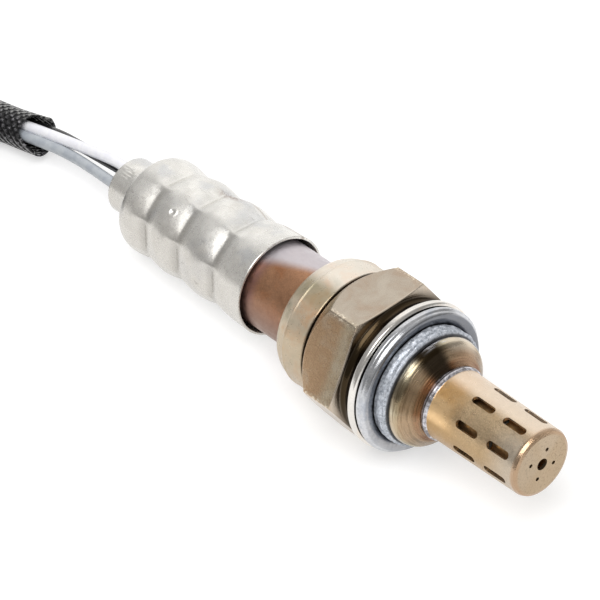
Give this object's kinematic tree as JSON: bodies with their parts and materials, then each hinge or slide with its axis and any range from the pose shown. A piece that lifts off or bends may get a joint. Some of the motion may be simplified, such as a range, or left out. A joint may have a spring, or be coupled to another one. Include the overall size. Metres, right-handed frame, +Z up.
{
  "type": "oxygen sensor",
  "caption": "Heated exhaust oxygen sensor with a slotted shield, hex shell with gasket, crimped sleeve, and a tied braided lead ending in a connector.",
  "frame": {"origin": "centre of the gasket's sealing face, on the sensor's axis", "axes": "+X along the surface toward the sensor's tip, +Z up; the sensor lies on a surface with its axis leaning 4.14 degrees tip-up in the XZ plane"},
  "size_m": [0.2584, 0.0504, 0.0233],
  "materials": {
    "shield_steel": "heat-tinted stainless steel",
    "inner_shield_steel": "golden-brown heat-tinted stainless steel",
    "shell_steel": "bronze-tinted turned steel",
    "gasket_steel": "bare folded steel",
    "cover_steel": "brown heat-tinted stainless steel",
    "sleeve_steel": "satin stainless steel",
    "plain_steel": "bare",
    "white_ceramic": "matte",
    "talc": "pressed powder",
    "terminal_brass": "bare",
    "grommet_rubber": "matte",
    "filter_ptfe": "porous",
    "white_insulation": "smooth",
    "grey_insulation": "smooth",
    "black_insulation": "smooth",
    "black_braid": "braided glass fibre, varnished",
    "black_nylon": "moulded",
    "grey_nylon": "moulded"
  },
  "bodies": {
    "root": {"outer_shield": "shield_steel", "inner_shield": "inner_shield_steel", "shield_spacer": "plain_steel", "zirconia_thimble": "white_ceramic", "seat_washer": "plain_steel", "shell": "shell_steel", "crush_gasket": "gasket_steel", "talc_ring": "talc", "ceramic_support": "white_ceramic", "packing_ring": "plain_steel", "inner_cover": "cover_steel", "outer_sleeve": "sleeve_steel", "rubber_grommet": "grommet_rubber", "vent_filter": "filter_ptfe", "heater_rod": "white_ceramic", "inner_contact": "plain_steel", "outer_contact": "plain_steel", "terminal_insulator": "white_ceramic", "insulator_spring": "plain_steel", "heater_terminal_1": "terminal_brass", "heater_terminal_2": "terminal_brass", "signal_terminal": "terminal_brass", "ground_terminal": "terminal_brass", "crimp_ferrule_1": "terminal_brass", "crimp_ferrule_2": "terminal_brass", "crimp_ferrule_3": "terminal_brass", "crimp_ferrule_4": "terminal_brass", "white_wire_1": "white_insulation", "white_wire_2": "white_insulation", "grey_wire": "grey_insulation", "black_wire": "black_insulation", "braided_sleeve": "black_braid", "lead_tie": "black_nylon", "connector_housing": "black_nylon", "connector_lock": "grey_nylon", "connector_boot": "grommet_rubber", "connector_pin_1": "terminal_brass", "connector_pin_2": "terminal_brass", "connector_pin_3": "terminal_brass", "connector_pin_4": "terminal_brass"}
  },
  "joints": []
}
